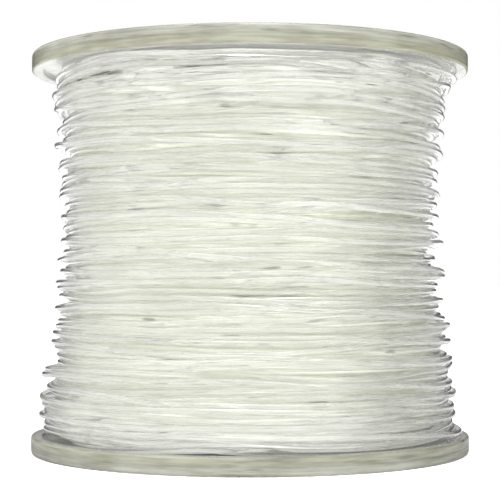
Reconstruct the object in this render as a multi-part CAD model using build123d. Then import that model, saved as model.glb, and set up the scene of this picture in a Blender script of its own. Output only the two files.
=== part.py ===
from build123d import *
import math
import os

# A bulk spool of clear nylon fishing line, standing upright on its lower flange.
# Millimetres. +Z runs up the spool's axis, and the origin is the middle of the lower flange's foot.
# Two identical flanges press into the ends of a hollow core, and the line is wound on that core.

# Overall size
flange_diameter = 76.0
spool_height = 68.8

# Flange disc: a thin web inside a rim that stands proud of it on both faces
rim_width = 2.0
web_thickness = 1.6
web_recess = 0.9
rim_step = 0.6
rim_outside_edge = 0.6
rim_inside_edge = 0.3
rim_root = 0.25

# Hub in the middle of each flange, bored for a half-inch spindle
spindle_bore = 13.2
hub_wall = 2.4
hub_length = 14.0
bore_mouth = 0.5

# Spigot ring that presses into the core, and the ribs that tie it to the hub
spigot_wall = 1.5
spigot_length = 8.0
spigot_gap = 0.05
rib_count = 6
rib_thickness = 1.2
rib_height = 6.0
rib_joint = 0.3

# Holes for a winder's three drive pins, each midway between two ribs, and between hub and spigot
drive_hole_count = 3
drive_hole_diameter = 3.6

# Slit in the rim that grips the line's loose end
keeper_width = 0.9
keeper_depth = 3.4
keeper_mouth = 2.2
keeper_angle = 112.0

# Core tube
core_diameter = 40.0
core_wall = 1.8

# Tape that holds the line's first turns to the core
tape_thickness = 0.2
tape_width = 19.0
tape_sweep = 75.0
tape_angle = 60.0

# Wound line. Each pair is a share of the way from the lower web to the upper web, and how far
# the pack's surface lies inside the flange's edge there: full at both ends, hollow at the waist.
pack_outline = [(0.0, 2.2), (0.14, 2.8), (0.31, 4.3), (0.5, 5.6), (0.68, 5.8), (0.84, 5.0), (1.0, 3.2)]
pack_end_gap = 0.05

# Places that follow from the sizes above
flange_radius = flange_diameter / 2
rim_inner_radius = flange_radius - rim_width
web_inside = web_recess + web_thickness
rim_thickness = web_inside + rim_step
bore_radius = spindle_bore / 2
hub_radius = bore_radius + hub_wall
core_radius = core_diameter / 2
core_inner_radius = core_radius - core_wall
spigot_radius = core_inner_radius - spigot_gap
spigot_inner_radius = spigot_radius - spigot_wall
drive_hole_circle = hub_radius + spigot_inner_radius
top_flange_turn = 2 * 360 / drive_hole_count
web_gap = spool_height - 2 * web_inside


def corner_at(face, radius, height):
    """The corner of a section that lies at this radius and height."""
    return face.vertices().sort_by_distance(Vector(radius, 0, height))[0]


def flange_section():
    """Half section of a flange from its bore to its rim, foot down, in the XZ plane."""
    outline = Polyline(
        (bore_radius, 0, 0),
        (hub_radius, 0, 0),
        (hub_radius, 0, web_recess),
        (rim_inner_radius, 0, web_recess),
        (rim_inner_radius, 0, 0),
        (flange_radius, 0, 0),
        (flange_radius, 0, rim_thickness),
        (rim_inner_radius, 0, rim_thickness),
        (rim_inner_radius, 0, web_inside),
        (spigot_radius, 0, web_inside),
        (spigot_radius, 0, web_inside + spigot_length),
        (spigot_inner_radius, 0, web_inside + spigot_length),
        (spigot_inner_radius, 0, web_inside),
        (hub_radius, 0, web_inside),
        (hub_radius, 0, hub_length),
        (bore_radius, 0, hub_length),
        close=True,
    )
    face = make_face(outline)
    step_limit = 0.45 * rim_step
    rounded = [
        (flange_radius, 0, rim_outside_edge),
        (flange_radius, rim_thickness, rim_inside_edge),
        (rim_inner_radius, 0, rim_inside_edge),
        (rim_inner_radius, rim_thickness, min(rim_inside_edge, step_limit)),
        (rim_inner_radius, web_recess, rim_root),
        (rim_inner_radius, web_inside, min(rim_root, step_limit)),
        (hub_radius, web_recess, rim_root),
    ]
    for radius, height, edge_radius in rounded:
        face = fillet(corner_at(face, radius, height), edge_radius)
    for height in (0, hub_length):
        face = chamfer(corner_at(face, bore_radius, height), bore_mouth)
    return face


def ribs():
    """Radial ribs between the hub and the spigot ring, standing on the web."""
    inner = hub_radius - rib_joint
    outer = spigot_inner_radius + rib_joint
    rib = Box(outer - inner, rib_thickness, rib_height + rib_joint)
    rib = Pos((inner + outer) / 2, 0, web_inside + (rib_height - rib_joint) / 2) * rib
    return [Rot(0, 0, (index + 0.5) * 360 / rib_count) * rib for index in range(rib_count)]


def drive_holes():
    """Through holes in the web for a winder's drive pins."""
    drill = Pos(drive_hole_circle / 2, 0, 0) * Cylinder(drive_hole_diameter / 2, 4 * rim_thickness)
    return [Rot(0, 0, index * 360 / drive_hole_count) * drill for index in range(drive_hole_count)]


def keeper_slit():
    """A slit through the rim with a flared mouth, where the loose end is pulled in."""
    reach = flange_radius + keeper_mouth
    tip = flange_radius - keeper_depth
    throat = flange_radius - rim_width / 2
    half = keeper_width / 2
    flare = keeper_mouth / 2
    slit = make_face(
        Polyline(
            (tip, -half), (throat, -half), (reach, -half - flare - keeper_mouth),
            (reach, half + flare + keeper_mouth), (throat, half), (tip, half),
            close=True,
        )
    )
    slit = extrude(slit, 2 * rim_thickness, both=True)
    end = Pos(tip, 0, 0) * Cylinder(half, 4 * rim_thickness)
    return Rot(0, 0, keeper_angle) * (slit + end)


def make_flange():
    """One moulded flange, foot at z = 0 and hub standing up."""
    flange = revolve(flange_section(), Axis.Z, 360)
    for rib in ribs():
        flange += rib
    for drill in drive_holes():
        flange -= drill
    flange -= keeper_slit()
    return flange


def turned_over(flange):
    """The upper flange: the same moulding upside down, its drive holes in line with the lower ones."""
    return Pos(0, 0, spool_height) * Rot(0, 0, top_flange_turn) * Rot(180, 0, 0) * flange


def ring(outer, inner, bottom, height):
    """A plain round tube standing on the given height."""
    tube = Cylinder(outer, height) - Cylinder(inner, height)
    return Pos(0, 0, bottom + height / 2) * tube


def make_core():
    """The barrel that the line is wound on, seated between the two webs."""
    return ring(core_radius, core_inner_radius, web_inside, web_gap)


def make_tape():
    """A strip of tape round part of the core, under the first layer of line."""
    strip = ring(core_radius + tape_thickness, core_radius, spool_height / 2 - tape_width / 2, tape_width)
    reach = 2 * core_radius
    half_sweep = math.radians(tape_sweep / 2)
    wedge = make_face(
        Polyline(
            (0, 0),
            (reach, -reach * math.tan(half_sweep)),
            (reach, reach * math.tan(half_sweep)),
            close=True,
        )
    )
    wedge = extrude(wedge, spool_height, both=True)
    return Rot(0, 0, tape_angle) * (strip & wedge)


def make_winding(tape):
    """The whole pack of wound line as one closed ring with a hollow waist."""
    bottom = web_inside + pack_end_gap
    height = web_gap - 2 * pack_end_gap
    points = [(flange_radius - inset, 0, bottom + share * height) for share, inset in pack_outline]
    surface = Spline(*points)
    closing = Polyline(
        points[-1],
        (core_radius, 0, bottom + height),
        (core_radius, 0, bottom),
        points[0],
    )
    pack = revolve(make_face([surface, closing]), Axis.Z, 360)
    return pack - tape


def main():
    flange = make_flange()
    tape = make_tape()
    parts = {
        "bottom_flange": flange,
        "top_flange": turned_over(flange),
        "winding_core": make_core(),
        "line_start_tape": tape,
        "line_winding": make_winding(tape),
    }
    os.makedirs("parts", exist_ok=True)
    for name, solid in parts.items():
        export_step(solid, os.path.join("parts", name + ".step"))
        print(name, round(solid.volume, 1), "mm3")


main()
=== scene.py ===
# %% [markdown]
# # A spool of clear fishing line
#
# The spool is two frosted plastic flanges on a hollow core, with a thick pack of clear nylon
# line wound between them. The flanges, the core and the tape come from the CAD model and only
# get a finish here. The line is made new: every turn that shows is a real strand, laid on the
# turns below it the way a winding machine lays it.

# %% Load the frame
import bpy
import math
import numpy as np
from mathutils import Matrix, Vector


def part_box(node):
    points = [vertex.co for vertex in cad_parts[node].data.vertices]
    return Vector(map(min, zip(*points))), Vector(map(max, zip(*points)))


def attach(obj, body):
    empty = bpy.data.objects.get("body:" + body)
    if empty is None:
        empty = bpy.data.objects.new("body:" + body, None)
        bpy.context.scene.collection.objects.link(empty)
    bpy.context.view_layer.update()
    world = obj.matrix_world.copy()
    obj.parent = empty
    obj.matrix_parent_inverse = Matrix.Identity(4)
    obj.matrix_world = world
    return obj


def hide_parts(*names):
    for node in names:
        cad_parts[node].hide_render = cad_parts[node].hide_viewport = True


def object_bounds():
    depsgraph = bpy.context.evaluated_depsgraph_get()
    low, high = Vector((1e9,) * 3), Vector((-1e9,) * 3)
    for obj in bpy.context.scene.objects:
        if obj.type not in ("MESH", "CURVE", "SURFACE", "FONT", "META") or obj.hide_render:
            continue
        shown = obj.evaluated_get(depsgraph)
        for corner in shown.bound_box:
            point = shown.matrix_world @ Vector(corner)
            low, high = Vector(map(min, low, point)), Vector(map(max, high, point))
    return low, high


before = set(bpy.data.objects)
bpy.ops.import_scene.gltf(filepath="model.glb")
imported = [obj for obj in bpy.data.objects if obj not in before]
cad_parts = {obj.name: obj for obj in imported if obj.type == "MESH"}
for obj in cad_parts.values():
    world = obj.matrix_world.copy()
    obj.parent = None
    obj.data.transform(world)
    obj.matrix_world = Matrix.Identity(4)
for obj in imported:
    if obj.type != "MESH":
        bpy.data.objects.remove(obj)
cad_low, cad_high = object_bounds()
flange_radius = (cad_high.x - cad_low.x) / 2
spool_height = cad_high.z - cad_low.z
pack_foot, pack_top = [corner.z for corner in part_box("line_winding")]
print("CAD nodes:", ", ".join(sorted(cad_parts)))
print("flange radius", round(flange_radius, 4), "m, spool height", round(spool_height, 4), "m")

# %% [markdown]
# ## Sums with sockets
#
# A material is a small graph of nodes. It could be written node by node and link by link, but
# then the idea of it drowns in wiring. Written as ordinary sums it stays short, so one class
# wraps a socket and turns `+`, `-`, `*` and `/` into Math nodes. Any other node comes from one
# method, which sets the node's own options first and its sockets after.

# %% Wrap a socket
class Wire:
    """A socket of a node tree that sums can be written with."""

    def __init__(self, tree, socket=None):
        self.tree = tree
        self.socket = socket

    def plug(self, slot, value):
        """Links a wire to a slot, or sets a plain number or colour on it."""
        if isinstance(value, Wire):
            self.tree.links.new(value.socket, slot)
        elif slot.type == "RGBA":
            slot.default_value = (*value, 1.0)
        else:
            slot.default_value = value

    def math(self, operation, first, second=0.0):
        return self.node("ShaderNodeMath", {"operation": operation}, _0=first, _1=second)

    def __add__(self, other):
        return self.math("ADD", self, other)

    def __radd__(self, other):
        return self.math("ADD", other, self)

    def __sub__(self, other):
        return self.math("SUBTRACT", self, other)

    def __rsub__(self, other):
        return self.math("SUBTRACT", other, self)

    def __mul__(self, other):
        return self.math("MULTIPLY", self, other)

    def __rmul__(self, other):
        return self.math("MULTIPLY", other, self)

    def __truediv__(self, other):
        return self.math("DIVIDE", self, other)

    def __rtruediv__(self, other):
        return self.math("DIVIDE", other, self)

    def node(self, kind, settings=None, out=0, **sockets):
        """Any other node: its settings first, then its sockets by name, or as _6 by number.

        Gives the output with the number `out`, or a list of outputs when `out` is a tuple.
        """
        made = self.tree.nodes.new(kind)
        for name, value in (settings or {}).items():
            if name == "stops":
                set_stops(made.color_ramp, value)
            else:
                setattr(made, name, value)
        for name, value in sockets.items():
            key = int(name[1:]) if name[0] == "_" else name.replace("_", " ")
            self.plug(made.inputs[key], value)
        if isinstance(out, tuple):
            return [Wire(self.tree, made.outputs[number]) for number in out]
        return Wire(self.tree, made.outputs[out])


def set_stops(ramp, stops):
    """Gives a colour ramp its stops, as pairs of a place and a grey level or a colour."""
    while len(ramp.elements) > 1:
        ramp.elements.remove(ramp.elements[-1])
    for index, (place, colour) in enumerate(stops):
        stop = ramp.elements[0] if index == 0 else ramp.elements.new(place)
        stop.position = place
        level = (colour,) * 3 if isinstance(colour, (int, float)) else colour
        stop.color = (*level, 1.0)


print("a wire can be used in sums with +, -, * and /")

# %% [markdown]
# ## Masks and mixes
#
# Two things come up in every material: a mask that fades in between two places, and a colour
# that is mixed from two others. The mask is a Map Range node with a soft S-shaped rise. Colours
# go through a Mix node, because a Math node would turn them grey.

# %% Masks, mixes and materials
def soft_step(value, start, done):
    """Rises softly from 0 to 1 while a value goes from `start` to `done`."""
    return value.node("ShaderNodeMapRange", {"interpolation_type": "SMOOTHSTEP"},
                      _0=value, _1=start, _2=done)


def mix_colours(wire, share, first, second, blend="MIX"):
    """The first colour where the share is 0, and the second where it is 1."""
    return wire.node("ShaderNodeMix", {"data_type": "RGBA", "blend_type": blend}, out=2,
                     _0=share, _6=first, _7=second)


def new_material(name):
    """An empty material, a wire to write it with, and the place of each point on the piece."""
    material = bpy.data.materials.new(name)
    material.use_nodes = True
    material.node_tree.nodes.clear()
    wire = Wire(material.node_tree)
    return material, wire, wire.node("ShaderNodeTexCoord", out=3)


def finish_material(wire, **ends):
    """Joins the surface, and the volume where there is one, to the material's output."""
    wire.node("ShaderNodeOutputMaterial", out=(), **ends)


print("masks fade in along a soft S, and colours are mixed as colours")

# %% [markdown]
# ## The strands' nylon
#
# One strand of nylon line is clear, glossy and slightly milky. Plain glass would be too clean,
# and plain white plastic would lose the bright edges that light gets as it bends through a
# round strand. So the strand is mostly glass with some milk in it, in soft clouds.

# %% The strands' nylon
def nylon_tint(wire, place, tint):
    """The nylon's colour, a little darker in soft clouds."""
    cloud = wire.node("ShaderNodeTexNoise", Vector=place, Scale=160.0, Detail=2.0)
    return mix_colours(wire, cloud, tint, tuple(0.98 * level for level in tint))


def strand_material(name, tint, clear, roughness):
    material, wire, place = new_material(name)
    finish_material(wire, Surface=wire.node(
        "ShaderNodeBsdfPrincipled",
        Base_Color=nylon_tint(wire, place, tint),
        Roughness=roughness,
        IOR=1.53,
        Transmission_Weight=clear,
    ))
    return material


clear_line = strand_material("clear_nylon", (0.994, 0.997, 0.978), clear=0.86, roughness=0.04)
print("material", clear_line.name)

# %% [markdown]
# ## The milk under the strands
#
# Light that enters the pack is passed from strand to strand until it comes out again white,
# with a breath of yellow, and still a little brighter towards whatever lights it. A real
# volume of glass strands would show that, but slowly and with much noise. A chalky white body
# takes its light from half the room at once, so it shades too evenly. A satin body with a soft
# metallic sheen does it best, because it mirrors the surroundings in a blur.
#
# Near both flanges the pack is painted whiter, as painted light for the light that the flanges send back
# into it. Between some turns a gap is painted in as dark shade, drawn out round the spool, and most of
# these are near the upper flange. The pack's flat ends, seen through the flanges, are painted greyer as
# shade, darkest in the valley between two turns and paler on each turn's crest.

# %% The milk under the strands
# Painted light: the colour that the pack is painted towards near both flanges.
painted_flange_light = (0.99, 0.99, 0.965)
# Painted shade in the gaps between some turns.
gap_shade_colour = (0.10, 0.10, 0.085)
# Painted shade on the pack's flat ends: its level in the valleys between turns and on their crests.
end_valley_shade, end_crest_shade = (0.17, 0.17, 0.155), (0.50, 0.505, 0.47)
# Metres below the pack's top, and above its foot, where the painted light starts to whiten the pack and
# where it is whitest.
painted_light_near_top, painted_light_near_foot = (0.013, 0.001), (0.010, 0.001)
# How much more often the painted gap shade comes near the top and near the foot.
gap_shade_near_top, gap_shade_near_foot = 0.085, 0.02
# Metres from either end of the pack: the valleys and crests of the painted shade on its flat end, and where
# the side takes over.
crest_depth, side_from = (0.0004, 0.0), (0.0005, 0.0012)


def painted_gap_shade(wire, place, more):
    """A mask of painted dark shade in short gaps between turns, drawn out round the spool; `more` makes
    them more frequent.
    """
    drawn_out = wire.node("ShaderNodeMapping", Vector=place, Scale=(150.0, 150.0, 2300.0))
    slit = wire.node("ShaderNodeTexNoise", Vector=drawn_out, Scale=1.0, Detail=1.0)
    return wire.node("ShaderNodeValToRGB", {"stops": [(0.665, 0.0), (0.73, 0.75)]}, Fac=slit + more)


def with_shaded_end_faces(wire, height, side):
    """The side's colour, and painted shade on the pack's two flat ends, darker in the valleys between turns
    than on their crests.
    """
    from_end = wire.math("MINIMUM", height - pack_foot, pack_top - height)
    end_face_shade = mix_colours(wire, soft_step(from_end, *crest_depth), end_valley_shade, end_crest_shade)
    return mix_colours(wire, soft_step(from_end, *side_from), end_face_shade, side)


def milk_material(name, tint, roughness, sheen):
    material, wire, place = new_material(name)
    height = wire.node("ShaderNodeSeparateXYZ", out=2, Vector=place)
    near_top = soft_step(pack_top - height, *painted_light_near_top)
    near_foot = soft_step(height - pack_foot, *painted_light_near_foot)
    # Painted light: the pack is painted whiter towards both flanges.
    colour = mix_colours(wire, near_top + near_foot, nylon_tint(wire, place, tint), painted_flange_light)
    # Painted shade: dark gaps between some turns, most of them near the upper flange.
    gap_shade = painted_gap_shade(wire, place, near_top * gap_shade_near_top + near_foot * gap_shade_near_foot)
    colour = mix_colours(wire, gap_shade, colour, gap_shade_colour)
    # The pack's flat ends get painted shade.
    finish_material(wire, Surface=wire.node(
        "ShaderNodeBsdfPrincipled",
        Base_Color=with_shaded_end_faces(wire, height, colour),
        Roughness=roughness,
        IOR=1.53,
        Metallic=sheen,
    ))
    return material


deep_line = milk_material("milky_nylon", (0.963, 0.97, 0.892), roughness=0.38, sheen=0.95)
print("material", deep_line.name)

# %% [markdown]
# ## The moulded plastic
#
# The flanges and the core are moulded in polystyrene. The melt flows round the mould and sets
# in faint streaks, with a darker stain here and there, and the mould's fine matt skin is left
# on every face. The streaks could be drawn as lines, but a noise that is stretched out round
# the spool gives them uneven lengths for nothing. The skin is a very fine bump.

# %% Moulded plastic
def moulded_colour(wire, place, light, dark):
    """Flow streaks and stains; gives the colour, and the streaks alone as a mask."""
    stretched = wire.node("ShaderNodeMapping", Vector=place, Scale=(120.0, 120.0, 2000.0))
    streak = wire.node("ShaderNodeTexNoise", Vector=stretched, Scale=1.0, Detail=4.0, Roughness=0.6)
    cloud = wire.node("ShaderNodeTexNoise", Vector=place, Scale=110.0, Detail=2.0)
    shade = wire.node("ShaderNodeValToRGB", {"stops": [(0.41, 0.0), (0.64, 1.0)]},
                      Fac=0.65 * streak + 0.35 * cloud)
    colour = mix_colours(wire, shade, light, dark)
    drawn_out = wire.node("ShaderNodeMapping", Vector=place, Location=(0.3, 0.7, 0.2),
                          Scale=(105.0, 105.0, 1100.0))
    blot = wire.node("ShaderNodeTexNoise", Vector=drawn_out, Scale=1.0, Detail=2.0)
    stain = wire.node("ShaderNodeValToRGB", {"stops": [(0.60, 0.0), (0.72, 0.6)]}, Fac=blot)
    return mix_colours(wire, stain, colour, tuple(0.5 * level for level in dark)), shade


def matt_skin(wire, place):
    """The fine grain that the mould leaves, as a bump."""
    grain = wire.node("ShaderNodeTexNoise", Vector=place, Scale=2600.0, Detail=2.0)
    return wire.node("ShaderNodeBump", Strength=0.12, Distance=0.0002, Height=grain)


def plastic_material(name, light, dark, clear):
    """Plain moulded plastic or film, matt and lightly streaked."""
    material, wire, place = new_material(name)
    colour, shade = moulded_colour(wire, place, light, dark)
    finish_material(wire, Surface=wire.node(
        "ShaderNodeBsdfPrincipled",
        Base_Color=colour,
        Roughness=0.12 * shade + 0.4,
        IOR=1.50,
        Transmission_Weight=clear,
        Normal=matt_skin(wire, place),
    ))
    return material


core_plastic = plastic_material("core_moulding", (0.84, 0.84, 0.80), (0.78, 0.78, 0.73), clear=0.0)
tape_film = plastic_material("tape_film", (0.80, 0.79, 0.68), (0.74, 0.72, 0.60), clear=0.2)
print("materials", core_plastic.name, tape_film.name)

# %% [markdown]
# ## The flanges' frosted plastic
#
# A flange is one see-through moulding, but its two parts look different. The thin web lets the white pack
# show through. The rim is seen edge on, with much more plastic behind it, and looks grey-yellow and cloudy;
# bands of painted shade and painted highlight run along it where its edges are rounded. Two materials would
# need two pieces, or faces picked one by one. One material serves both: a mask by the distance from the
# axis picks the rim's outer wall, and a Mix Shader changes from one finish to the other there. Inside the
# plastic, light slowly turns yellow, which is an absorbing volume.

# %% The flanges' frosted plastic
web_colour = (0.97, 0.97, 0.98)
wall_light, wall_dark = (0.60, 0.61, 0.525), (0.36, 0.36, 0.29)
web_clear, wall_clear = 0.78, 0.32
wall_skin = 0.0004
rim_thickness = 0.0031
# Painted shade and painted highlights in bands across the rim's wall where its edges are rounded, with a
# yellower band beside the line; from the outer edge of the rim's wall, 0, to the edge beside the line, 1.
wall_shade_bands = [(0.0, (0.60, 0.60, 0.57)), (0.09, (0.98, 0.98, 0.97)), (0.42, (1.0, 1.0, 1.0)),
              (0.50, (0.80, 0.80, 0.77)), (0.58, (0.97, 0.97, 0.91)),
              (0.90, (1.0, 0.985, 0.88)), (1.0, (0.84, 0.83, 0.74))]


def flange_material(name):
    material, wire, place = new_material(name)
    x, y, z = wire.node("ShaderNodeSeparateXYZ", out=(0, 1, 2), Vector=place)
    colour, shade = moulded_colour(wire, place, wall_light, wall_dark)
    up_the_wall = wire.math("MINIMUM", z, spool_height - z) / rim_thickness
    # Bands of painted shade and painted highlight across the rim's wall.
    shade_bands = wire.node("ShaderNodeValToRGB", {"stops": wall_shade_bands}, Fac=up_the_wall)
    shared = {"Roughness": 0.12 * shade + 0.14, "IOR": 1.50, "Normal": matt_skin(wire, place)}
    wall = wire.node("ShaderNodeBsdfPrincipled", Transmission_Weight=wall_clear, **shared,
                     Base_Color=mix_colours(wire, 1.0, colour, shade_bands, "MULTIPLY"))
    web = wire.node("ShaderNodeBsdfPrincipled", Transmission_Weight=web_clear, **shared,
                    Base_Color=web_colour)
    from_axis = wire.math("SQRT", x * x + y * y)
    on_wall = soft_step(from_axis, flange_radius - wall_skin, flange_radius - wall_skin / 2)
    finish_material(
        wire,
        Surface=wire.node("ShaderNodeMixShader", _0=on_wall, _1=web, _2=wall),
        Volume=wire.node("ShaderNodeVolumeAbsorption", Color=(0.75, 0.74, 0.60), Density=90.0),
    )
    return material


frosted_plastic = flange_material("frosted_plastic")
print("material", frosted_plastic.name)

# %% [markdown]
# ## Finishing the CAD pieces
#
# The CAD model already has the right shape for the moulded pieces and the tape, so they keep
# it, and only the material in their slots changes.

# %% Finish the CAD pieces
finishes = {
    "bottom_flange": frosted_plastic,
    "top_flange": frosted_plastic,
    "winding_core": core_plastic,
    "line_start_tape": tape_film,
}
for node, material in finishes.items():
    for slot in bpy.data.objects[node].material_slots:
        slot.material = material
    print(node, "is finished in", material.name)

# %% [markdown]
# ## Camera
#
# The camera stands a little below the middle of the spool and close to it, so the upper
# flange shows its underside and the lower one shows the top of its rim. It looks very
# slightly upward, which keeps the spool in the middle of the picture.

# %% Camera
eye_distance = 7.0 * flange_radius
eye_height = 0.433 * spool_height
look_up = 1.13  # degrees
camera_data = bpy.data.cameras.new("camera")
camera_data.sensor_width = 36.0
camera_data.lens = 109.0
camera_data.clip_start = 0.01
camera = bpy.data.objects.new("camera", camera_data)
camera.location = (0.0, -eye_distance, eye_height)
camera.rotation_euler = (math.radians(90.0 + look_up), 0.0, 0.0)
bpy.context.scene.collection.objects.link(camera)
bpy.context.scene.camera = camera
print("camera", round(eye_distance, 3), "m away and", round(eye_height, 4), "m up")

# %% [markdown]
# ## Light
#
# Clear and glossy things show hardly any shading of their own. They show what stands round
# them, so lighting them means choosing what they mirror. The spool stands in a white tent,
# which could be lamps and cards, but is simply the world's background here, worked out from
# the direction that is looked in. The tent's wall is bright to the left and in front, dark on
# the right-hand side, and dim behind. Its roof is bright. A bank light, high up in front and to
# the right, draws a fine highlight along each strand, and a dark card on each side behind the
# spool draws the edges of the strands in grey. Only what the spool sees is lit that way: the
# camera itself sees plain white.

# %% The tent
# Degrees to the right of the camera's side, and how bright the wall is there.
tent_wall = [(-180, 0.55), (-174, 0.50), (-168, 0.18), (-153, 0.20), (-143, 0.68), (-126, 0.92),
             (-100, 1.00), (-80, 1.02), (-60, 1.02), (-30, 0.93), (0, 0.68), (25, 0.74), (55, 1.02),
             (66, 0.80), (76, 0.18), (84, 0.03), (112, 0.03), (124, 0.26), (140, 0.36),
             (150, 0.16), (168, 0.16), (174, 0.50), (180, 0.55)]
# Levels, and the degrees round the spool and above the floor where each one fades in and out.
roof_level, roof_edge = 6.5, (66.0, 78.0)
bank_level = 3.5
bank_heading = (-30.0, -22.0), (78.0, 60.0)
bank_rise = (41.0, 44.0), (59.0, 56.0)
card_black = 0.92
card_heading = (112.0, 128.0), (174.0, 168.0)
card_top = (15.0, 10.0)


def between(value, fade_in, fade_out):
    """A mask between two soft edges, each given as where it starts and where it is done."""
    return soft_step(value, *fade_in) * soft_step(value, *fade_out)


def tent_level(wire):
    """How bright the tent is in each direction."""
    direction = wire.node("ShaderNodeTexCoord", out=0)
    x, y, z = wire.node("ShaderNodeSeparateXYZ", out=(0, 1, 2), Vector=direction)
    degrees = 180.0 / math.pi
    heading = wire.math("ARCTAN2", x, y * -1.0) * degrees
    rise = wire.math("ARCSINE", z) * degrees
    stops = [((place + 180) / 360, level) for place, level in tent_wall]
    wall = wire.node("ShaderNodeValToRGB", {"stops": stops}, Fac=(heading + 180.0) / 360.0)
    roof = soft_step(rise, *roof_edge)
    bank = between(heading, *bank_heading) * between(rise, *bank_rise)
    cards = between(wire.math("ABSOLUTE", heading), *card_heading)
    cards = cards * soft_step(wire.math("ABSOLUTE", rise), *card_top)
    level = wall * (1.0 - roof) + roof * roof_level + bank * bank_level
    return level * (1.0 - cards * card_black)


world = bpy.data.worlds.new("tent")
world.use_nodes = True
world.node_tree.nodes.clear()
wire = Wire(world.node_tree)
tent = wire.node("ShaderNodeBackground", Strength=tent_level(wire), Color=(1.0, 1.0, 1.0))
white = wire.node("ShaderNodeBackground", Strength=1.0, Color=(1.0, 1.0, 1.0))
camera_ray = wire.node("ShaderNodeLightPath", out=0)
wire.node("ShaderNodeOutputWorld", out=(),
          Surface=wire.node("ShaderNodeMixShader", _0=camera_ray, _1=tent, _2=white))
bpy.context.scene.world = world
print("tent wall", len(tent_wall), "stops, roof", roof_level, "bank", bank_level)

# %% [markdown]
# ## Floor
#
# The floor is white and glows a little, so that it stays white up to the spool's foot. What it sends up
# into the pack and the rims is another matter: for every ray but the camera's own, a painted shadow darkens
# it right under the spool and beside it, and a dark patch dims it behind the spool. That gives the lower
# rim and the undersides of the strands their grey. Far behind the spool it is bright again, which keeps the
# upper flange's underside white.

# %% The floor
floor_reach = 6.0
# Metres from the axis, to each side and to the back, where the painted shadow and the dark patch behind
# fade in, and for the back also where the patch fades out again.
shadow_under_spool, shadow_at_side = (0.054, 0.042), (0.022, 0.040)
behind_spool = (-0.05, 0.03), (0.30, 0.18)


def floor_material(name):
    material, wire, place = new_material(name)
    x, y = wire.node("ShaderNodeSeparateXYZ", out=(0, 1), Vector=place)
    from_axis = wire.node("ShaderNodeVectorMath", {"operation": "LENGTH"}, out=1, _0=place)
    # Painted shadow on the floor under the spool, deeper beside it, and a dark patch behind it, for the
    # light the floor sends up.
    sides = soft_step(wire.math("ABSOLUTE", x), *shadow_at_side)
    painted_shadow = soft_step(from_axis, *shadow_under_spool) * (0.24 + 0.6 * sides)
    behind = 0.6 * between(y, *behind_spool)
    dim = 1.0 - (1.0 - painted_shadow) * (1.0 - behind)
    sent_up = wire.node("ShaderNodeBsdfPrincipled", Roughness=0.9,
                        Base_Color=mix_colours(wire, dim, (0.88, 0.88, 0.88), (0.30, 0.30, 0.30)),
                        Emission_Color=mix_colours(wire, dim, (1.0, 1.0, 1.0), (0.0, 0.0, 0.0)),
                        Emission_Strength=0.35)
    looked_at = wire.node("ShaderNodeBsdfPrincipled", Roughness=0.9, Base_Color=(0.86, 0.86, 0.86),
                          Emission_Color=(1.0, 1.0, 1.0), Emission_Strength=0.55)
    camera_ray = wire.node("ShaderNodeLightPath", out=0)
    finish_material(wire, Surface=wire.node("ShaderNodeMixShader", _0=camera_ray, _1=sent_up, _2=looked_at))
    return material


floor_corners = [(-floor_reach, -floor_reach, 0), (floor_reach, -floor_reach, 0),
                 (floor_reach, floor_reach, 0), (-floor_reach, floor_reach, 0)]
floor_mesh = bpy.data.meshes.new("floor")
floor_mesh.from_pydata(floor_corners, [], [(0, 1, 2, 3)])
floor = bpy.data.objects.new("floor", floor_mesh)
floor.data.materials.append(floor_material("white_floor"))
bpy.context.scene.collection.objects.link(floor)
print("floor", 2 * floor_reach, "m across")

# %% [markdown]
# ## How far light is followed
#
# A ray has to pass through many strands before it gets out of the pack. With the usual few
# bounces it would be given up inside and leave black specks, so it gets many more. Glossy
# light isn't blurred either, because the blur would wipe out the strands' fine highlights.

# %% Bounces and colours
scene = bpy.context.scene
scene.view_settings.view_transform = "Standard"
scene.cycles.blur_glossy = 0.0
scene.cycles.max_bounces = 32
scene.cycles.transmission_bounces = 24
scene.cycles.diffuse_bounces = 8
scene.cycles.glossy_bounces = 8
print("light is followed for up to", scene.cycles.max_bounces, "bounces")

# %% [markdown]
# ## Laying the line
#
# A winding machine leads the line up and down between the flanges while the spool turns.
# Each turn lies in the grooves of the turns below, slides off their crests, and bridges the
# gaps, because the line is pulled tight. A plain helix would look like a spring, and a full
# rope simulation of a hundred turns would take very long. So the same thing is done on a height
# map of the pack: one column for each degree round the spool, one cell for each tenth of a
# millimetre up it, and in each cell how far out the pack reaches. A turn is placed where the
# machine leads it, rolls downhill a little, and is then added to the map.
#
# Everything in these cells is in millimetres, and becomes metres when the meshes are made.
#
# The map starts from the CAD pack's own outline, which is read from its mesh.

# %% The pack's outline
MM = 0.001
line_diameter = 1.0
line_radius = line_diameter / 2
columns = 360
cell = 0.1
pack_low, pack_high = pack_foot / MM, pack_top / MM
rows = int(round((pack_high - pack_low) / cell)) + 1
row_height = pack_low + cell * np.arange(rows)
core_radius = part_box("winding_core")[1].x / MM


def outline(node, inner_radius, heights):
    """How far out a turned CAD piece reaches at each height."""
    points = np.array([vertex.co[:] for vertex in bpy.data.objects[node].data.vertices]) / MM
    radius = np.hypot(points[:, 0], points[:, 1])
    outside = radius > inner_radius
    order = np.argsort(points[outside, 2])
    return np.interp(heights, points[outside, 2][order], radius[outside][order])


pack_radius = outline("line_winding", core_radius + line_diameter, row_height)
print("the pack is", round(pack_high - pack_low, 2), "mm high and reaches",
      round(pack_radius.min(), 1), "to", round(pack_radius.max(), 1), "mm out")

# %% [markdown]
# ## One stretch of line
#
# A strand rests where its round underside first touches the map, so its middle is as far out
# as the highest sum of ground and strand over its width. It rolls towards the side where it
# would rest further in, while the machine's lead and its own stiffness hold it back.

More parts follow.
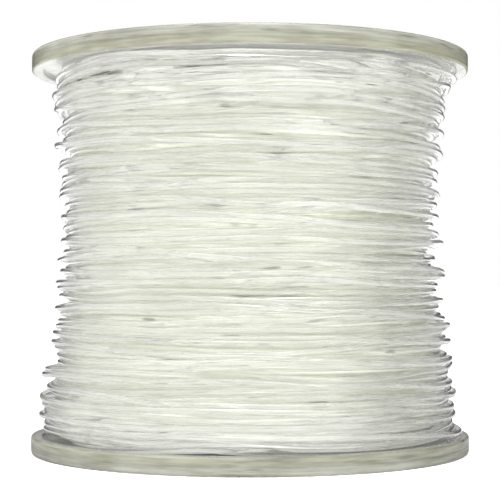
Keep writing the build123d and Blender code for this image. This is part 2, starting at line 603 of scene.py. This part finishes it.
# %% Lay one stretch
across = np.linspace(-line_radius, line_radius, 11)
underside = np.sqrt(np.maximum(line_radius**2 - across**2, 0.0))
feel = 0.12             # how far up and down a strand feels for the slope, and rolls at most
roll_gain = 1.2
height_stiffness = 4.0  # in degrees round the spool, like the four below
bridge_reach = 2
bridge_stiffness = 2.6
height_join = 14.0
radius_join = 8.0


def resting_radius(field, column, height):
    """How far out a strand's middle comes to rest at each point of its way."""
    row = (height[:, None] + across - pack_low) / cell
    below = np.clip(row.astype(int), 0, rows - 2)
    part = np.clip(row - below, 0.0, 1.0)
    ground = field[column[:, None], below] * (1 - part) + field[column[:, None], below + 1] * part
    return (ground + underside).max(axis=1)


def soften(values, width):
    """Smooths a run of values with a bell curve, holding its ends level."""
    reach = int(3 * width)
    bell = np.exp(-0.5 * (np.arange(-reach, reach + 1) / width) ** 2)
    padded = np.concatenate([np.full(reach, values[0]), values, np.full(reach, values[-1])])
    return np.convolve(padded, bell / bell.sum(), "valid")


def lay_stretch(field, column, led, begin, rolls, grip):
    """Lays a stretch of line, less than a turn long, and returns its heights and radii."""
    low, high = pack_low + line_radius, pack_high - line_radius
    height = np.clip(led, low, high)
    catch_up = np.exp(-np.arange(len(height)) / height_join)
    for _ in range(rolls):
        uphill = resting_radius(field, column, height + feel) - resting_radius(field, column, height - feel)
        height = height - np.clip(uphill * roll_gain, -feel, feel)
        height = height + grip * (led - height)
        height = soften(height, height_stiffness)
        if begin is not None:
            height = height + (begin - height[0]) * catch_up
        height = np.clip(height, low, high)
    radius = resting_radius(field, column, height)
    bridged = np.array([radius[max(0, i - bridge_reach):i + bridge_reach + 1].max()
                        for i in range(len(radius))])
    return height, soften(bridged, bridge_stiffness)


def press_in(field, column, height, radius):
    """Adds a laid stretch to the height map."""
    reach = round(line_radius / cell)
    for step in range(-reach, reach + 1):
        row = np.rint((height - pack_low) / cell).astype(int) + step
        inside = (row >= 0) & (row < rows)
        away = row * cell + pack_low - height
        top = radius + np.sqrt(np.maximum(line_radius**2 - away**2, 0.0))
        here = column[inside], row[inside]
        field[here] = np.maximum(field[here], top[inside])


print("a strand feels the ground at", len(across), "points across its width")

# %% [markdown]
# ## One pass from flange to flange
#
# A pass is one climb or descent of the lead. Its turns are unevenly spaced and wander, a loose
# turn stands off the pack here and there, and a turn that would stand too proud of the pack is
# pulled in. The pass is laid in stretches shorter than a turn, so that each turn already finds
# the one before it on the map. Its two ends are tucked in under the neighbouring turns.

# %% Lead and wind one pass
stretch = 290               # degrees
shortest_stretch = 20
uneven_pitch = 0.35         # the share by which a turn's climb may differ
drift_knots = 0.16          # turns between two changes of the lead's drift
drift_width = 16.0
slack_knots = 40            # degrees between two changes of how loose the line lies
slack_width = 8.0
slack_bias = -0.4           # below zero, so that most of the line lies tight
proud_limit = 0.9           # how far a turn may stand proud of the outline
proud_pull = 0.7            # the share of the rest by which it is pulled in
tuck_depth = 1.6
tuck_run = 40               # degrees over which an end dives in


def led_path(start, stop, pitch, wander, rng):
    """The machine's lead for one pass: heights, one for each degree that the spool turns."""
    turns = round(abs(stop - start) / pitch)
    t = np.arange(turns * columns) / columns
    uneven = 1.0 + uneven_pitch * np.interp(t, np.arange(turns + 2), rng.uniform(-1, 1, turns + 2))
    share = np.cumsum(uneven) / uneven.sum()
    knots = np.arange(0, turns + 1, drift_knots)
    drift = np.interp(t, knots, rng.normal(0, 1, len(knots)))
    return start + (stop - start) * share + wander * soften(drift, drift_width)


def stand_off(count, slack, rng):
    """How far a stretch of line stands off the pack where it is loose; mostly not at all."""
    knots = np.arange(0, count + slack_knots, slack_knots)
    loose = np.maximum(rng.normal(slack_bias, 1.0, len(knots)), 0.0)
    return slack * soften(np.interp(np.arange(count), knots, loose), slack_width)


def wind_pass(field, first_column, path, rolls, grip, slack, rng):
    """Lays a whole pass, stretch after stretch, and returns its angles, heights and radii."""
    heights, radii = [], []
    begin = None
    for first in range(0, len(path), stretch):
        led = path[first:first + stretch]
        if len(led) < shortest_stretch:
            break
        column = (first_column + first + np.arange(len(led))) % columns
        height, radius = lay_stretch(field, column, led, begin, rolls, grip)
        radius = radius + stand_off(len(led), slack, rng)
        proud = radius - np.interp(height, row_height, pack_radius) - proud_limit
        radius = radius - proud_pull * np.maximum(proud, 0.0)
        if begin is not None:
            radius = radius + (radii[-1][-1] - radius[0]) * np.exp(-np.arange(len(radius)) / radius_join)
        press_in(field, column, height, radius)
        begin = height[-1]
        heights.append(height)
        radii.append(radius)
    height, radius = np.concatenate(heights), np.concatenate(radii)
    steps = np.arange(len(height))
    tucked = 1.0 - np.clip(np.minimum(steps, steps[::-1]) / tuck_run, 0.0, 1.0)
    return np.radians(first_column + steps), height, radius - tuck_depth * tucked**2


print("a pass is laid in stretches of", stretch, "degrees")

# %% [markdown]
# ## The whole pack
#
# Six passes go on a bare surface a few millimetres below the pack's outline. The first three
# are neat and make the ground that the others lie on. The last three are the ones that show:
# each climbs faster, wanders more and lies looser than the one before, which is how the outer
# turns of a machine-wound spool cross each other. Each pass starts a little further round the
# spool than the one before it.

# %% Wind the pack
laid_depth = 5.2        # what all the passes together add to the bare surface
start_column = 96
column_shift = 23
hidden_passes = 3
winding_seed = 20
# Each pass: the climb of a turn, how far the lead wanders, how often a turn rolls, how firmly
# the lead holds it, and how slack it lies.
plan = [(1.08, 0.15, 6, 0.25, 0.0), (1.12, 0.2, 6, 0.2, 0.0), (1.2, 0.3, 6, 0.2, 0.0),
        (1.3, 0.45, 5, 0.2, 0.05), (1.6, 0.6, 5, 0.2, 0.1), (2.3, 0.8, 4, 0.2, 0.15)]


def wind_pack(bare_surface):
    """Winds every pass; returns the visible ones, the surface below them and the last surface."""
    rng = np.random.default_rng(winding_seed)
    field = np.tile(bare_surface, (columns, 1))
    low, high = pack_low + line_radius, pack_high - line_radius
    passes = []
    for number, (pitch, wander, rolls, grip, slack) in enumerate(plan):
        if number == hidden_passes:
            below = field.copy()
        ends = (low, high) if number % 2 == 0 else (high, low)
        path = led_path(*ends, pitch, wander, rng)
        column = start_column + column_shift * number
        passes.append(wind_pass(field, column, path, rolls, grip, slack, rng))
    return passes[hidden_passes:], below, field


passes, below_strands, surface = wind_pack(pack_radius - laid_depth)
for angle, height, radius in passes:
    print("a visible pass of", round(len(angle) / columns), "turns,",
          round((radius * math.radians(1)).sum() * MM, 1), "m of line")

# %% [markdown]
# ## Back to the outline
#
# Loose turns pile up in some places and sink in others, so the wound pack is up to a
# millimetre off the outline that it should have. The winding could be steered until it fits,
# but that changes every turn. It is simpler to measure how far the pack is off at each
# height, all round, and to move everything at that height in or out by that much. The
# correction is smoothed, so that it moves whole turns and doesn't squash them.

# %% Even the pack out
even_reach = 14         # rows of the map on each side


def evened(values, reach):
    """A run of values smoothed with a flat window, its ends held level."""
    padded = np.pad(values, reach, mode="edge")
    return np.convolve(padded, np.full(2 * reach + 1, 1.0 / (2 * reach + 1)), "valid")


surplus = surface.mean(axis=0) - pack_radius
reached = (row_height > pack_low + line_radius) & (row_height < pack_high - line_radius)
surplus = evened(np.interp(row_height, row_height[reached], surplus[reached]), even_reach)
passes = [(angle, height, radius - np.interp(height, row_height, surplus))
          for angle, height, radius in passes]
below_strands = below_strands - surplus
print("the pack was off its outline by", round(surplus.min(), 2), "to", round(surplus.max(), 2), "mm")

# %% [markdown]
# ## The strands
#
# Each visible pass becomes one long tube. A curve with a round bevel would do it too, but with
# rings of points set across the way of the line, and joined by quads, each ring sits just
# where the winding put it. Eight sides, shaded smooth, are enough for a strand that is one
# millimetre thick.

# %% Make the strands
strand_sides = 8
degrees_between_rings = 2


def add_piece(name, points, faces, material):
    """A smooth-shaded piece of nylon line, from points in millimetres."""
    mesh = bpy.data.meshes.new(name)
    mesh.from_pydata((points.reshape(-1, 3) * MM).tolist(), [], faces)
    mesh.shade_smooth()
    mesh.materials.append(material)
    piece = bpy.data.objects.new(name, mesh)
    bpy.context.scene.collection.objects.link(piece)
    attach(piece, "root")
    print(name, len(mesh.polygons), "faces")
    return piece


def strand_rings(angle, height, radius):
    """Rings of points round the line's way, each set across it."""
    outward = np.stack([np.cos(angle), np.sin(angle), np.zeros_like(angle)], axis=1)
    middle = outward * radius[:, None]
    middle[:, 2] = height
    along = np.gradient(middle, axis=0)
    along /= np.linalg.norm(along, axis=1, keepdims=True)
    sideways = np.cross(along, outward)
    sideways /= np.linalg.norm(sideways, axis=1, keepdims=True)
    turn = np.linspace(0, 2 * math.pi, strand_sides, endpoint=False)[None, :, None]
    ring = line_radius * (np.cos(turn) * outward[:, None, :] + np.sin(turn) * sideways[:, None, :])
    return middle[:, None, :] + ring


def tube_faces(rings):
    """Quads from ring to ring, and a flat face on each end of the tube."""
    start = np.arange(rings - 1)[:, None] * strand_sides
    here = np.arange(strand_sides)[None, :]
    after = (here + 1) % strand_sides
    corners = [start + here, start + after, start + after + strand_sides, start + here + strand_sides]
    faces = [tuple(quad) for quad in np.stack(corners, axis=-1).reshape(-1, 4).tolist()]
    faces.append(tuple(range(strand_sides))[::-1])
    faces.append(tuple(range((rings - 1) * strand_sides, rings * strand_sides)))
    return faces


for number, way in enumerate(passes, start=1):
    rings = strand_rings(*[values[::degrees_between_rings] for values in way])
    add_piece(f"line_layer_{number}", rings, tube_faces(len(rings)), clear_line)

# %% [markdown]
# ## The deep layers
#
# Under the last few layers nobody can follow a single strand. What is left of the pack is one
# milky body. Its outside is the height map as it was before the visible passes went on, so it
# keeps the ridges of the turns that lie there. Its two flat ends can be seen through the
# flanges, where the turns lie side by side from the core outwards. They get a ridge for each
# turn, a little out of round. With this body in place, the strands stand for the CAD model's
# plain ring of line, which is hidden.

# %% The deep body
ridge_steps = 6         # points across each ridge
ridge_depth = 0.35
ridge_wobble = 0.3
below_gap = 0.05
core_gap = 0.25
map_step = 2            # every second column and row is fine enough down here


def end_turns(outer_radius, inner_radius, level, inwards):
    """The ridges of the turns on one flat end of the pack, from outside to inside."""
    turns = int((outer_radius.mean() - inner_radius) / line_diameter)
    share = np.arange(1, turns * ridge_steps + 1) / (turns * ridge_steps)
    turn = np.radians(np.arange(len(outer_radius)) * 360.0 / len(outer_radius))[:, None]
    wobble = ridge_wobble * np.sin(3 * turn + 9 * share) * np.sin(math.pi * share)
    reach = outer_radius[:, None] + (inner_radius - outer_radius[:, None]) * share + wobble
    sunk = ridge_depth * (1.0 - np.abs(np.sin(math.pi * turns * share)))
    return reach, level + inwards * sunk


def body_points(side, heights, inner_radius):
    """Closed outlines of the body, one for each column of the height map."""
    top_reach, top_level = end_turns(side[:, -1], inner_radius, heights[-1], -1.0)
    foot_reach, foot_level = end_turns(side[:, 0], inner_radius, heights[0], 1.0)
    reach = np.concatenate([side, top_reach, foot_reach[:, ::-1]], axis=1)
    level = np.concatenate([heights, top_level, foot_level[::-1]])
    turn = np.radians(np.arange(len(side)) * 360.0 / len(side))[:, None]
    return np.stack([reach * np.cos(turn), reach * np.sin(turn), np.tile(level, (len(side), 1))], axis=-1)


def ring_faces(around, along):
    """Quads that join closed outlines into a closed ring."""
    here = np.arange(around)[:, None]
    place = np.arange(along)[None, :]
    after, beyond = (here + 1) % around, (place + 1) % along
    corners = [here * along + place, after * along + place, after * along + beyond, here * along + beyond]
    return [tuple(quad) for quad in np.stack(corners, axis=-1).reshape(-1, 4).tolist()]


side = below_strands[::map_step, ::map_step] - below_gap
points = body_points(side, row_height[::map_step], core_radius + core_gap)
add_piece("line_deep_layers", points, ring_faces(*points.shape[:2]), deep_line)
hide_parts("line_winding")
